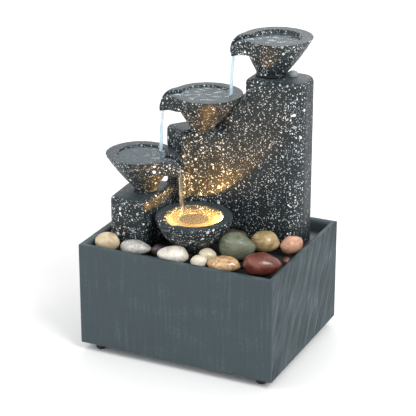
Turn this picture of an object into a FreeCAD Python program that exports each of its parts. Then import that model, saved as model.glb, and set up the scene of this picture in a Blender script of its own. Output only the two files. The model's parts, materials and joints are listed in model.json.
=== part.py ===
"""Tabletop water fountain: a slate-look basin, three speckled stone-look columns, three pouring bowls
and a lit collecting bowl, a bed of loose pebbles on a perforated tray, and a small magnetic-drive pump
and LED lamp that make it work.

Units are millimetres. +Z is up, X runs along the basin's long side and -Y is the front. The origin is
at the middle of the footprint, on the surface that the four rubber feet stand on.
"""

import os

import FreeCAD
import Part
from math import cos, degrees, hypot, pi, radians, sin, tan

V = FreeCAD.Vector
OUT = "parts"
os.makedirs(OUT, exist_ok=True)

# ---------------------------------------------------------------- driving dimensions
# Basin
basin_width = 180.0
basin_depth = 143.0
basin_height = 92.0
basin_wall = 6.0
basin_floor = 7.0
basin_edge_radius = 1.2
rim_bevel = 1.6
ledge_width = 4.0
# Feet
foot_radius = 4.3
foot_height = 7.0
foot_socket = 3.0
foot_inset_x = 14.0
foot_inset_y = 10.5
# Stone tray
tray_drop = 9.0
tray_thickness = 4.0
tray_gap = 0.5
slot_width = 3.2
slot_length = 15.0
slot_pitch_x = 21.0
slot_pitch_y = 13.0
lift_hole_radius = 7.5
# Columns
casting_wall = 4.5
column_edge_radius = 4.0
tower_top = 236.0
tower_width = 52.0
tower_depth = 38.0
tower_left = 23.2
tower_front = 17.0
tower_corner = 5.0
tower_outer_corner = 13.0
middle_top = 186.0
left_top = 134.5
shoulder_top = 217.0
bowl_recess = 0.5
nest_gap = 1.2
nest_head = 0.3
# Bowls that pour: rim centre, rim radius, foot radius and spout heading of each
top_bowl_at = (43.2, 41.0)
top_bowl_radius = 30.3
top_foot_radius = 13.4
top_spout_angle = 209.0
middle_bowl_at = (-10.8, 17.4)
middle_bowl_radius = 31.1
middle_foot_radius = 9.8
middle_spout_angle = 202.0
left_bowl_at = (-59.4, -12.9)
left_bowl_radius = 30.4
left_foot_radius = 10.0
left_spout_angle = 0.0
# Shape the three pouring bowls share
bowl_height = 33.5
bowl_lean = 4.5
bowl_foot_height = 3.0
rim_width = 8.7
dish_depth = 12.5
dish_shift = 1.5
spout_overhang = 9.3
spout_drop = 15.5
spout_bend = 12.0
spout_half_root = 20.0
spout_half_tip = 6.8
channel_half_root = 7.5
channel_half_tip = 4.4
channel_depth = 4.2
# Lit bowl
light_bowl_at = (-3.8, -23.5)
light_bowl_radius = 33.0
light_bowl_height = 33.0
light_dish_radius = 25.0
light_dish_depth = 17.0
light_foot_radius = 13.0
overflow_half_width = 8.0
overflow_depth = 3.0
overflow_angle = 241.0
# Lamp
lamp_head_radius = 11.7
lamp_head_height = 6.0
lamp_body_radius = 8.8
lamp_body_height = 14.0
lamp_gap = 0.25
lens_thickness = 2.2
# Riser tube and inlet fitting
tube_outer_radius = 6.0
tube_wall = 1.5
tube_push_on = 12.0
fitting_bore_radius = 3.0
fitting_shank_radius = 4.9
fitting_flange_radius = 7.5
fitting_flange_thickness = 1.5
slip_gap = 0.06
# Vent plug in the tower's top
vent_plug_radius = 3.0
vent_plug_cap = 4.2
vent_plug_height = 4.0
# Rear service cover
cover_width = 38.0
cover_height = 106.0
cover_bottom = 104.0
cover_plate = 2.5
cover_lip = 4.0
cover_lip_inset = 3.0
cover_gap = 0.3
# Pump
pump_foot_height = 4.0
pump_foot_radius = 5.0
motor_length = 30.0
motor_width = 33.0
motor_height = 34.0
motor_wall = 2.0
volute_radius = 16.0
volute_length = 14.0
volute_wall = 3.0
outlet_offset = 8.0
rotor_radius = 6.0
rotor_length = 14.0
shaft_radius = 1.0
bush_radius = 2.4
impeller_radius = 11.0
impeller_length = 6.5
impeller_disc = 1.4
impeller_back_gap = 0.8
blade_count = 6
blade_thickness = 1.2
well_radius = 7.0
well_wall = 1.5
well_length = 19.0
intake_length = 14.0
intake_wall = 1.8
dial_radius = 8.0
dial_thickness = 2.4
running_gap = 0.05
# Cable inlet
grommet_bore_radius = 2.4
grommet_body_radius = 4.0
grommet_flange_radius = 5.0
grommet_flange = 1.2
grommet_x = -20.0
grommet_below_rim = 7.5

# ---------------------------------------------------------------- levels and places
floor_under = foot_height
basin_rim = foot_height + basin_height
reservoir_floor = floor_under + basin_floor
tray_top = basin_rim - tray_drop
tray_bottom = tray_top - tray_thickness
half_w = basin_width / 2
half_d = basin_depth / 2
inner_w = half_w - basin_wall
inner_d = half_d - basin_wall
tower_right = tower_left + tower_width
tower_back = tower_front + tower_depth


def heading(angle):
    """Unit vector in the XY plane at an angle in degrees from +X."""
    return V(cos(radians(angle)), sin(radians(angle)), 0)


top_spout = heading(top_spout_angle)
riser_x = top_bowl_at[0] + bowl_lean * top_spout.x
riser_y = top_bowl_at[1] + bowl_lean * top_spout.y
vent_x = riser_x + cos(radians(12)) * (top_foot_radius + vent_plug_cap + 0.6)
vent_y = riser_y + sin(radians(12)) * (top_foot_radius + vent_plug_cap + 0.6)

# ---------------------------------------------------------------- small helpers


def block(x0, x1, y0, y1, z0, z1):
    return Part.makeBox(x1 - x0, y1 - y0, z1 - z0, V(x0, y0, z0))


def rod(radius, start, end):
    """Solid cylinder between two points."""
    start, end = V(*start), V(*end)
    return Part.makeCylinder(radius, (end - start).Length, start, end - start)


def pipe(outer, inner, start, end):
    """Straight round tube between two points."""
    return rod(outer, start, end).cut(rod(inner, start, end))


def fuse(shapes):
    whole = shapes[0].multiFuse(shapes[1:]) if len(shapes) > 1 else shapes[0]
    return whole.removeSplitter()


def rounded_outline(corners, radii):
    """Closed wire in the XY plane through corner points, each rounded by its own radius."""
    edges = []
    count = len(corners)
    points = [V(x, y, 0) for x, y in corners]
    ends = []
    for i, corner in enumerate(points):
        before = (points[i - 1] - corner).normalize()
        after = (points[(i + 1) % count] - corner).normalize()
        half = before.getAngle(after) / 2
        run = radii[i] / tan(half)
        bisector = (before + after).normalize()
        middle = corner + bisector * (radii[i] / sin(half) - radii[i])
        ends.append((corner + before * run, middle, corner + after * run))
    for i, (start, middle, end) in enumerate(ends):
        if radii[i] > 0:
            edges.append(Part.Arc(start, middle, end).toShape())
        edges.append(Part.LineSegment(end, ends[(i + 1) % count][0]).toShape())
    return Part.Wire(edges)


def prism(outline, z0, z1):
    face = Part.Face(outline)
    solid = face.extrude(V(0, 0, z1 - z0))
    solid.translate(V(0, 0, z0))
    return solid


def edges_at(shape, z, tolerance=0.01):
    """Edges that lie in the horizontal plane z."""
    return [e for e in shape.Edges if all(abs(v.Z - z) < tolerance for v in e.Vertexes)
            and abs(e.BoundBox.ZMax - z) < tolerance and abs(e.BoundBox.ZMin - z) < tolerance]


def revolved(profile, axis_point=V(0, 0, 0), axis=V(0, 0, 1)):
    """Solid of revolution of closed (radius, z) points."""
    points = [V(r, 0, z) for r, z in profile]
    wire = Part.makePolygon(points + [points[0]])
    solid = Part.Face(wire).revolve(V(0, 0, 0), V(0, 0, 1), 360)
    solid = Part.makeSolid(solid) if solid.ShapeType == "Shell" else solid
    solid.rotate(V(0, 0, 0), V(0, 0, 1).cross(axis) if abs(axis.z) < 0.999 else V(1, 0, 0),
                 degrees(V(0, 0, 1).getAngle(axis)))
    solid.translate(axis_point)
    return solid


written = {}


def save(name, shape):
    solids = shape.Solids
    assert solids and all(s.isValid() and s.Volume > 0 for s in solids), name
    result = solids[0] if len(solids) == 1 else Part.makeCompound(solids)
    result.exportStep(f"{OUT}/{name}.step")
    written[name] = result
    return result


# ---------------------------------------------------------------- basin and feet


def make_basin():
    """Open box with a ledge that carries the tray, foot sockets and the cable hole."""
    shell = block(-half_w, half_w, -half_d, half_d, floor_under, basin_rim)
    uprights = [e for e in shell.Edges if abs(e.BoundBox.ZLength - basin_height) < 0.01]
    shell = shell.makeFillet(basin_edge_radius, uprights)
    upper = block(-inner_w, inner_w, -inner_d, inner_d, tray_bottom, basin_rim)
    lower = block(-inner_w + ledge_width, inner_w - ledge_width, -inner_d + ledge_width,
                  inner_d - ledge_width, reservoir_floor, tray_bottom)
    shell = shell.cut(upper).cut(lower)
    inner_rim = [e for e in edges_at(shell, basin_rim)
                 if e.BoundBox.XMax <= inner_w + 0.01 and e.BoundBox.XMin >= -inner_w - 0.01
                 and e.BoundBox.YMax <= inner_d + 0.01 and e.BoundBox.YMin >= -inner_d - 0.01]
    shell = shell.makeChamfer(rim_bevel, inner_rim)
    for x, y in foot_places():
        shell = shell.cut(rod(foot_radius - 1, (x, y, floor_under), (x, y, floor_under + foot_socket)))
    hole_z = basin_rim - grommet_below_rim
    return shell.cut(rod(grommet_body_radius, (grommet_x, inner_d - 1, hole_z),
                         (grommet_x, half_d + 1, hole_z)))


def foot_places():
    x = half_w - foot_inset_x
    y = half_d - foot_inset_y
    return [(-x, -y), (x, -y), (x, y), (-x, y)]


def make_foot(x, y):
    """Rubber foot: a domed pad with a peg pressed into the basin."""
    pad = rod(foot_radius, (x, y, 0), (x, y, foot_height))
    pad = pad.makeFillet(1.4, edges_at(pad, 0))
    peg = rod(foot_radius - 1, (x, y, foot_height), (x, y, foot_height + foot_socket))
    return fuse([pad, peg])


def make_grommet():
    """Rubber grommet that lines the cable hole in the rear wall; its rear flange is let in flush."""
    z = basin_rim - grommet_below_rim
    outer = fuse([rod(grommet_body_radius, (grommet_x, inner_d, z), (grommet_x, half_d, z)),
                  rod(grommet_flange_radius, (grommet_x, inner_d - grommet_flange, z),
                      (grommet_x, inner_d, z))])
    return outer.cut(rod(grommet_bore_radius, (grommet_x, inner_d - 5, z), (grommet_x, half_d + 5, z)))


# ---------------------------------------------------------------- tray


def make_tray():
    """Perforated plate on the basin's ledge; it carries the casting and the pebbles."""
    edge_x = inner_w - tray_gap
    edge_y = inner_d - tray_gap
    lead_half = grommet_flange_radius + 1.5
    lift_holes = [(12 - edge_x, edge_y - 12), (3, edge_y - 10.5)]
    tray = block(-edge_x, edge_x, -edge_y, edge_y, tray_bottom, tray_top)
    cuts = [rod(tube_outer_radius + 1.5, (riser_x, riser_y, tray_bottom - 1), (riser_x, riser_y, tray_top + 1)),
            rod(lamp_body_radius + 1, (*light_bowl_at, tray_bottom - 1), (*light_bowl_at, tray_top + 1)),
            block(grommet_x - lead_half, grommet_x + lead_half, edge_y - 8, edge_y + 1, tray_bottom - 1,
                  tray_top + 1)]
    for x, y in lift_holes:
        cuts.append(rod(lift_hole_radius, (x, y, tray_bottom - 1), (x, y, tray_top + 1)))
    columns = int((2 * edge_x - 24) // slot_pitch_x)
    rows = int((2 * edge_y - 20) // slot_pitch_y)
    for i in range(columns + 1):
        for j in range(rows + 1):
            x = (i - columns / 2) * slot_pitch_x
            y = (j - rows / 2) * slot_pitch_y
            clear_of = [(riser_x, riser_y, tube_outer_radius + 12), (*light_bowl_at, light_foot_radius + 9),
                        (grommet_x, edge_y, 18)] + [(*place, lift_hole_radius + 10) for place in lift_holes]
            if all(hypot(x - cx, y - cy) > r for cx, cy, r in clear_of):
                end = (slot_length - slot_width) / 2
                cuts.append(fuse([block(x - end, x + end, y - slot_width / 2, y + slot_width / 2,
                                        tray_bottom - 1, tray_top + 1)]
                                 + [rod(slot_width / 2, (x + s * end, y, tray_bottom - 1),
                                        (x + s * end, y, tray_top + 1)) for s in (-1, 1)]))
    return tray.cut(Part.makeCompound(cuts))


# ---------------------------------------------------------------- bowls


def side_profile(points, half_width):
    """Solid of an XZ outline given as ordered edges, extruded symmetrically in Y."""
    face = Part.Face(Part.Wire(points))
    solid = face.extrude(V(0, 2 * half_width, 0))
    solid.translate(V(0, -half_width, 0))
    return solid


def line(a, b):
    return Part.LineSegment(V(a[0], 0, a[1]), V(b[0], 0, b[1])).toShape()


def arc(a, m, b):
    return Part.Arc(V(a[0], 0, a[1]), V(m[0], 0, m[1]), V(b[0], 0, b[1])).toShape()


def beak(radius, half_root, half_tip, depth=0.0):
    """Drooping spout along +X from the rim centre; with a depth, the cutter for the channel along its top."""
    reach = radius + spout_overhang - depth
    bend = spout_bend - depth / 2
    root = 0.62 * radius
    knee = reach - bend
    swing = bend * sin(pi / 4)
    outer_curve = [line((4, -depth), (knee, -depth)),
                   arc((knee, -depth), (knee + swing, -depth - bend + swing), (reach, -depth - bend))]
    if depth:
        beyond = radius + spout_overhang + 5
        edges = outer_curve + [line((reach, -depth - bend), (reach, -spout_drop - 2)),
                               line((reach, -spout_drop - 2), (beyond, -spout_drop - 2)),
                               line((beyond, -spout_drop - 2), (beyond, 2)), line((beyond, 2), (4, 2)),
                               line((4, 2), (4, -depth))]
    else:
        heel = (reach - 8, -spout_drop + 2.5)
        edges = outer_curve + [line((reach, -bend), (reach, -spout_drop)), line((reach, -spout_drop), heel),
                               line(heel, (4, -spout_drop + 4)), line((4, -spout_drop + 4), (4, 0))]
    side = side_profile(edges, half_root + 2)
    tip = radius + spout_overhang - 1.5
    far = tip + 9
    plan = Part.makePolygon([V(x, y, 0) for x, y in ((4, -half_root), (root, -half_root), (tip, -half_tip),
                                                     (far, -half_tip), (far, half_tip), (tip, half_tip),
                                                     (root, half_root), (4, half_root), (4, -half_root))])
    wedge = Part.Face(plan).extrude(V(0, 0, 60))
    wedge.translate(V(0, 0, -50))
    return side.common(wedge)


def cone_shell(radius, foot_radius, grow=0.0):
    """Leaning cone of a pouring bowl, about its rim centre at z 0, optionally grown outward."""
    low_radius = foot_radius - 0.6
    sections = [(low_radius, bowl_lean, -bowl_height + bowl_foot_height - 0.5),
                ((low_radius + radius) / 2 + 0.5, bowl_lean / 2, -bowl_height / 2),
                (radius, 0, 0)]
    wires = [Part.Wire(Part.makeCircle(r + grow, V(-x, 0, z))) for r, x, z in sections]
    shell = Part.makeLoft(wires, True, False)
    shell.rotate(V(0, 0, 0), V(0, 0, 1), 180)
    return shell


def ball_radius(dish_radius, depth):
    """Radius of the sphere whose cap has this rim radius and depth."""
    return (dish_radius ** 2 + depth ** 2) / (2 * depth)


def pouring_bowl(radius, foot_radius):
    """Bowl with a drooping spout along +X, a dished basin and a foot ring; rim centre at the origin."""
    foot = rod(foot_radius, (bowl_lean, 0, -bowl_height), (bowl_lean, 0, -bowl_height + bowl_foot_height))
    body = fuse([cone_shell(radius, foot_radius), foot, beak(radius, spout_half_root, spout_half_tip)])
    ball = ball_radius(radius - rim_width, dish_depth)
    body = body.cut(Part.makeSphere(ball, V(dish_shift, 0, ball - dish_depth)))
    body = body.cut(block(-60, 60, -60, 60, 0, 80))
    return body.cut(beak(radius, channel_half_root, channel_half_tip, channel_depth))


def placed(shape, at, rim_z, angle):
    shape = shape.copy()
    shape.rotate(V(0, 0, 0), V(0, 0, 1), angle)
    shape.translate(V(at[0], at[1], rim_z))
    return shape


top_rim = tower_top - bowl_recess + bowl_height
middle_rim = middle_top - bowl_recess + bowl_height
left_rim = left_top - bowl_recess + bowl_height
light_rim = tray_top + light_bowl_height


def make_light_bowl():
    """Rounded bowl that stands on the tray, with an overflow notch and a stepped bore for the lamp."""
    h = light_bowl_height
    curve = Part.BSplineCurve()
    curve.interpolate([V(light_foot_radius, 0, -h + 3), V(light_foot_radius + 6.3, 0, -h + 9.3),
                       V(light_bowl_radius - 5, 0, -13.5), V(light_bowl_radius - 0.7, 0, -4.5),
                       V(light_bowl_radius, 0, 0)])
    edges = [curve.toShape(), line((light_bowl_radius, 0), (0, 0)), line((0, 0), (0, -h)),
             line((0, -h), (light_foot_radius, -h)), line((light_foot_radius, -h), (light_foot_radius, -h + 3))]
    body = Part.Face(Part.Wire(edges)).revolve(V(0, 0, 0), V(0, 0, 1), 360)
    ball = ball_radius(light_dish_radius, light_dish_depth)
    body = body.cut(Part.makeSphere(ball, V(0, 0, ball - light_dish_depth)))
    head_seat = -light_dish_depth - lamp_head_height + 1
    body = body.cut(rod(lamp_head_radius + lamp_gap, (0, 0, head_seat), (0, 0, 0)))
    body = body.cut(rod(lamp_body_radius + lamp_gap, (0, 0, -h - 1), (0, 0, head_seat + 1)))
    near = light_dish_radius - 7
    far = light_bowl_radius + 7
    wide = overflow_half_width
    notch = fuse([block(near, far, -wide + 3, wide - 3, -overflow_depth, 2),
                  block(near, far, -wide, wide, -overflow_depth + 1.5, 2)])
    return placed(body.cut(notch), light_bowl_at, light_rim, overflow_angle)


# ---------------------------------------------------------------- columns

# The lit wall behind the lamp runs from the middle column, bends once and meets the tower's front.
wall_start = (-24.2, 9.1)
wall_knee = (10.0, 17.2)
wall_end = (tower_left, tower_front + 0.4)
middle_back = 43.0
middle_corners = [(-51.9, 14.6), (-26.2, 1.1), wall_start, wall_knee, wall_end, (tower_left, middle_back),
                  (-28, middle_back), (-41, 29)]
middle_corner_radii = [7, 2.5, 2, 30, 0, 0, 6, 8]
left_corners = [(-76.4, -40.4), (-56.4, -44.4), (-42.4, -40), (-39.4, -8), (-39.4, 15), (-68, 15), (-78.4, -3)]
left_corner_radii = [7, 14, 6, 20, 4, 8, 10]
shoulder_start = -10.0
shoulder_lap = 10.0


def column(outline, top):
    """Prism over an outline with a softened top edge, and the core that hollows it from below."""
    solid = prism(outline, tray_top, top)
    solid = solid.makeFillet(column_edge_radius, edges_at(solid, top))
    core = prism(outline.makeOffset2D(-casting_wall), tray_top, top - casting_wall - 1)
    return solid, core


def bowl_nest(radius, foot_radius, at, rim_z, angle, grow=0.0):
    """Cutter for the hollow in a column that a pouring bowl leans into."""
    return placed(cone_shell(radius, foot_radius, nest_gap + grow), at, rim_z + nest_head + grow, angle)


def bowl_seat(at, foot_radius, angle, top):
    """Cutter for the shallow round seat of a bowl's foot ring."""
    seat = V(*at, top) + heading(angle) * bowl_lean
    return rod(foot_radius + 0.4, (seat.x, seat.y, top - bowl_recess), (seat.x, seat.y, top + 6))


def make_tower():
    """Tall column: square where the wall meets it, rounded on the outside, with a service opening behind."""
    outline = rounded_outline(
        [(tower_left, tower_front), (tower_right, tower_front), (tower_right, tower_back), (tower_left, tower_back)],
        [tower_corner, tower_outer_corner, tower_outer_corner, tower_corner])
    body, core = column(outline, tower_top)
    square_corner = block(tower_left, tower_left + tower_corner, tower_front, tower_front + tower_corner,
                          tray_top, shoulder_top)
    body = fuse([body, square_corner]).cut(core)
    body = body.cut(bowl_nest(middle_bowl_radius, middle_foot_radius, middle_bowl_at, middle_rim,
                              middle_spout_angle))
    body = body.cut(bowl_seat(top_bowl_at, top_foot_radius, top_spout_angle, tower_top))
    body = body.cut(rod(vent_plug_radius, (vent_x, vent_y, tower_top - 8), (vent_x, vent_y, tower_top + 1)))
    body = body.cut(rod(tube_outer_radius + 1, (riser_x, riser_y, tower_top - 20),
                        (riser_x, riser_y, tower_top + 1)))
    mid_x = (tower_left + tower_right) / 2
    open_half = cover_width / 2 - cover_lip_inset
    return body.cut(block(mid_x - open_half, mid_x + open_half, tower_back - casting_wall - 3, tower_back + 1,
                          cover_bottom + cover_lip_inset, cover_bottom + cover_height - cover_lip_inset))


def make_middle_column():
    """Middle column with the wall behind the lamp and a sloping shoulder against the tower."""
    body, core = column(rounded_outline(middle_corners, middle_corner_radii), middle_top)
    low = middle_top - shoulder_lap
    plan = prism(rounded_outline([(shoulder_start, 26), wall_knee, wall_end, (tower_left, middle_back + 1),
                                  (shoulder_start, 41)], [1, 1, 0, 0, 4]), low, shoulder_top)
    slope = Part.makePolygon([V(x, 0, z) for x, z in (
        (shoulder_start, low), (shoulder_start, middle_top - 3), (8, shoulder_top - 5), (18, shoulder_top),
        (tower_left, shoulder_top), (tower_left, low), (shoulder_start, low))])
    shoulder = plan.common(Part.Face(slope).extrude(V(0, 70, 0)))
    left_nest = (left_bowl_radius, left_foot_radius, left_bowl_at, left_rim, left_spout_angle)
    body = fuse([body, shoulder]).cut(core.cut(bowl_nest(*left_nest, grow=casting_wall)))
    body = body.cut(bowl_nest(*left_nest))
    body = body.cut(bowl_nest(middle_bowl_radius, middle_foot_radius, middle_bowl_at, middle_rim,
                              middle_spout_angle))
    return body.cut(bowl_seat(middle_bowl_at, middle_foot_radius, middle_spout_angle, middle_top))


def make_left_column():
    """Low front column, cut to the middle column's outline where the two meet."""
    body, core = column(rounded_outline(left_corners, left_corner_radii), left_top)
    beside = rounded_outline(middle_corners, middle_corner_radii)
    core = core.cut(prism(beside.makeOffset2D(casting_wall), tray_top, left_top))
    body = body.cut(core).cut(prism(beside, tray_top, left_top))
    return body.cut(bowl_seat(left_bowl_at, left_foot_radius, left_spout_angle, left_top))


def make_rear_cover():
    """Push-in cover over the service opening in the tower's back, with a finger notch."""
    mid_x = (tower_left + tower_right) / 2
    half = cover_width / 2
    plate = prism(rounded_outline([(-half, 0), (half, 0), (half, cover_height), (-half, cover_height)], [4] * 4),
                  0, cover_plate)
    plate.rotate(V(0, 0, 0), V(1, 0, 0), 90)
    plate.translate(V(mid_x, tower_back + cover_plate, cover_bottom))
    lip_half = half - cover_lip_inset - cover_gap
    low = cover_bottom + cover_lip_inset + cover_gap
    high = cover_bottom + cover_height - cover_lip_inset - cover_gap
    lip = block(mid_x - lip_half, mid_x + lip_half, tower_back - cover_lip, tower_back, low, high)
    lip = lip.cut(block(mid_x - lip_half + 2, mid_x + lip_half - 2, tower_back - cover_lip - 1, tower_back,
                        low + 2, high - 2))
    body = fuse([plate, lip])
    notch_z = cover_bottom + cover_height - 12
    return body.cut(rod(6, (mid_x, tower_back + cover_plate - 1.2, notch_z),
                        (mid_x, tower_back + cover_plate + 1, notch_z)))


# ---------------------------------------------------------------- water path

pump_axis_y = riser_y - outlet_offset
pump_bottom = reservoir_floor + pump_foot_height
pump_axis_z = pump_bottom + motor_height / 2
volute_front = riser_x - volute_length / 2
volute_back = riser_x + volute_length / 2
motor_back = volute_back + motor_length
socket_top = pump_axis_z + volute_radius + 3
nozzle_top = socket_top + 16
tube_inner_radius = tube_outer_radius - tube_wall
tube_bottom = nozzle_top - tube_push_on
bowl_bottom = tower_top - bowl_recess
dish_ball = ball_radius(top_bowl_radius - rim_width, dish_depth)
dish_floor = top_rim + dish_ball - dish_depth - (dish_ball ** 2 - (bowl_lean - dish_shift) ** 2) ** 0.5
flange_bottom = dish_floor + 0.35
tube_top = bowl_bottom - 2


def make_inlet_fitting():
    """Flanged nipple through the top bowl's floor, with a barb that the riser tube pushes onto."""
    def at(z):
        return (riser_x, riser_y, z)
    barb_end = tube_top - tube_push_on
    parts = [rod(fitting_flange_radius, at(flange_bottom), at(flange_bottom + fitting_flange_thickness)),
             rod(fitting_shank_radius, at(bowl_bottom - 1), at(flange_bottom)),
             rod(tube_inner_radius, at(barb_end), at(bowl_bottom - 1))]
    return fuse(parts).cut(rod(fitting_bore_radius, at(barb_end - 1), at(top_rim)))


def make_vent_plug():
    """Soft domed plug that closes the air hole beside the top bowl."""
    stem = rod(vent_plug_radius, (vent_x, vent_y, tower_top - casting_wall), (vent_x, vent_y, tower_top))
    cap = rod(vent_plug_cap, (vent_x, vent_y, tower_top), (vent_x, vent_y, tower_top + vent_plug_height))
    return fuse([stem, cap.makeFillet(2.6, edges_at(cap, tower_top + vent_plug_height))])


def make_riser_tube():
    return pipe(tube_outer_radius, tube_inner_radius, (riser_x, riser_y, tube_bottom), (riser_x, riser_y, tube_top))


# ---------------------------------------------------------------- lamp


def make_lamp():
    """Sealed LED lamp: housing, board, three LEDs, seal, lens and retaining ring, with a cable gland."""
    x, y = light_bowl_at
    head_low = light_rim - light_dish_depth - lamp_head_height + 1
    head_high = head_low + lamp_head_height
    body_low = head_low - lamp_body_height
    cup = fuse([rod(lamp_head_radius, (x, y, head_low), (x, y, head_high)),
                rod(lamp_body_radius, (x, y, body_low), (x, y, head_low))])
    ring_wall = 1.6
    bay_radius = lamp_head_radius - ring_wall
    bay_low = head_low + 1.5
    cup = cup.cut(rod(bay_radius, (x, y, bay_low), (x, y, head_high)))
    cup = cup.cut(rod(lamp_body_radius - 2, (x, y, body_low + 2), (x, y, bay_low)))
    cup = cup.cut(rod(1.8, (x, y, body_low - 1), (x, y, body_low + 3)))
    save("lamp_housing", cup)
    board_high = bay_low + 1.0
    save("lamp_board", rod(bay_radius - 0.2, (x, y, bay_low), (x, y, board_high)))
    chips = []
    for k in range(3):
        spot = heading(90 + 120 * k) * 4.2
        chips.append(block(x + spot.x - 1.4, x + spot.x + 1.4, y + spot.y - 1.4, y + spot.y + 1.4,
                           board_high, board_high + 0.7))
    save("lamp_leds", Part.makeCompound(chips))
    seal_high = head_high - lens_thickness
    save("lamp_seal", pipe(bay_radius - 0.05, bay_radius - 1.4, (x, y, board_high), (x, y, seal_high)))
    lens = rod(bay_radius - 0.05, (x, y, seal_high), (x, y, head_high - 0.4))
    save("lamp_lens", lens)
    save("lamp_potting", rod(lamp_body_radius - 2, (x, y, body_low + 2), (x, y, bay_low)))
    gland = fuse([rod(3.4, (x, y, body_low - 4), (x, y, body_low)),
                  rod(1.8, (x, y, body_low), (x, y, body_low + 2))])
    save("lamp_cable_gland", gland)


# ---------------------------------------------------------------- pump


def make_pump():
    """Magnetic-drive pump lying on the reservoir floor, its axis along X and its outlet pointing up."""
    y, z = pump_axis_y, pump_axis_z

    def on_axis(x):
        return (x, y, z)

    y0, y1 = y - motor_width / 2, y + motor_width / 2
    z0, z1 = pump_bottom, pump_bottom + motor_height
    case = block(volute_back, motor_back, y0, y1, z0, z1)
    case = case.makeFillet(4, [e for e in case.Edges if e.BoundBox.XLength > motor_length - 0.01])
    cavity = block(volute_back + motor_wall, motor_back + 1, y0 + motor_wall, y1 - motor_wall,
                   z0 + motor_wall, z1 - motor_wall)
    well_end = volute_back + well_length
    well_outer = rod(well_radius + well_wall, on_axis(volute_back), on_axis(well_end + well_wall))
    well_bore = rod(well_radius, on_axis(volute_back - 1), on_axis(well_end))
    gland_x = motor_back - 9
    case = fuse([case.cut(cavity), well_outer]).cut(well_bore)
    case = case.cut(rod(2.6, (gland_x, y, z1 - motor_wall - 1), (gland_x, y, z1 + 1)))
    save("pump_motor_housing", case)
    pole = well_radius + well_wall
    arm = 4.5
    yoke_x = well_end + well_wall + 1
    core = fuse([block(volute_back + 5, yoke_x + arm, y - 7, y + 7, z + s0, z + s1)
                 for s0, s1 in ((pole, pole + arm), (-pole - arm, -pole))]
                + [block(yoke_x, yoke_x + arm, y - 7, y + 7, z - pole, z + pole)])
    save("pump_stator_core", core)
    coil = block(yoke_x - 0.8, yoke_x + arm + 2.2, y - 10, y + 10, z - pole + 0.3, z + pole - 0.3)
    coil = coil.cut(core)
    save("pump_coil", coil)
    potting = cavity.common(block(volute_back, motor_back - 0.5, y0, y1, z0, z1))
    potting = potting.cut(well_outer).cut(core).cut(coil)
    save("pump_potting", potting)
    gland = fuse([rod(2.55, (gland_x, y, z1 - motor_wall), (gland_x, y, z1)),
                  rod(4, (gland_x, y, z1), (gland_x, y, z1 + 5))])
    save("pump_cable_gland", gland)

    chamber = volute_radius - volute_wall
    face = volute_front + volute_wall
    volute = fuse([rod(volute_radius, on_axis(volute_front), on_axis(volute_back)),
                   rod(volute_length / 2 - 0.2, (riser_x, riser_y, z), (riser_x, riser_y, socket_top))])
    volute = volute.cut(rod(chamber, on_axis(face), on_axis(volute_back)))
    volute = volute.cut(rod(6, on_axis(volute_front - 1), on_axis(face + 0.1)))
    spokes = [block(volute_front, face, y - 0.9, y + 0.9, z, z + 6.5).rotate(V(*on_axis(0)), V(1, 0, 0), 120 * k)
              for k in range(3)]
    spider = fuse([rod(bush_radius + 1.2, on_axis(volute_front), on_axis(face))] + spokes)
    volute = fuse([volute, spider]).cut(rod(bush_radius, on_axis(volute_front - 1), on_axis(face + 1)))
    volute = volute.cut(rod(4.0, (riser_x, riser_y, z), (riser_x, riser_y, socket_top)))
    volute = volute.cut(rod(5.0, (riser_x, riser_y, socket_top - 9), (riser_x, riser_y, socket_top + 1)))
    save("pump_volute_cover", volute)
    nozzle = fuse([rod(5.0 - running_gap, (riser_x, riser_y, socket_top - 8.9), (riser_x, riser_y, socket_top)),
                   rod(tube_outer_radius + 1, (riser_x, riser_y, socket_top), (riser_x, riser_y, socket_top + 1.5)),
                   rod(tube_inner_radius - slip_gap, (riser_x, riser_y, socket_top + 1.5),
                       (riser_x, riser_y, nozzle_top))])
    save("pump_outlet_nozzle", nozzle.cut(rod(3.0, (riser_x, riser_y, socket_top - 10),
                                              (riser_x, riser_y, nozzle_top + 1))))

    shaft_end = well_end
    save("rotor_shaft", rod(shaft_radius, on_axis(volute_front + 1), on_axis(shaft_end - 1)))
    save("shaft_bush_front", pipe(bush_radius, shaft_radius, on_axis(volute_front), on_axis(face)).fuse(
        rod(shaft_radius, on_axis(volute_front), on_axis(volute_front + 1))).removeSplitter())
    save("shaft_bush_rear", pipe(well_radius, shaft_radius, on_axis(shaft_end - 3), on_axis(shaft_end)).fuse(
        rod(shaft_radius, on_axis(shaft_end - 1), on_axis(shaft_end))).removeSplitter())
    magnet_start = volute_back + 1.5
    bore = shaft_radius + running_gap
    save("rotor_magnet", pipe(rotor_radius, bore, on_axis(magnet_start), on_axis(magnet_start + rotor_length)))
    wheel_start = magnet_start - impeller_length - 0.5
    hub = rod(4, on_axis(wheel_start), on_axis(magnet_start))
    disc_back = volute_back - impeller_back_gap
    disc = rod(impeller_radius, on_axis(disc_back - impeller_disc), on_axis(disc_back))
    blades = [block(wheel_start, disc_back - impeller_disc / 2, y - blade_thickness / 2, y + blade_thickness / 2,
                    z + 3, z + impeller_radius - 0.2).rotate(V(*on_axis(0)), V(1, 0, 0), 360 / blade_count * k)
              for k in range(blade_count)]
    save("impeller", fuse([hub, disc] + blades).cut(rod(bore, on_axis(wheel_start - 1), on_axis(magnet_start + 1))))

    foot_x = (volute_back + 6, motor_back - 6)
    foot_spots = [(fx, fy) for fy in (y0 + 6, y1 - 6) for fx in foot_x]
    for k, (fx, fy) in enumerate(foot_spots):
        cup = revolved([(0, pump_foot_height), (0, 1.2), (pump_foot_radius, 0), (pump_foot_radius, 0.6),
                        (2.2, pump_foot_height - 1.2), (2.2, pump_foot_height)], V(fx, fy, reservoir_floor))
        save(f"pump_suction_foot_{k + 1}", cup)

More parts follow.
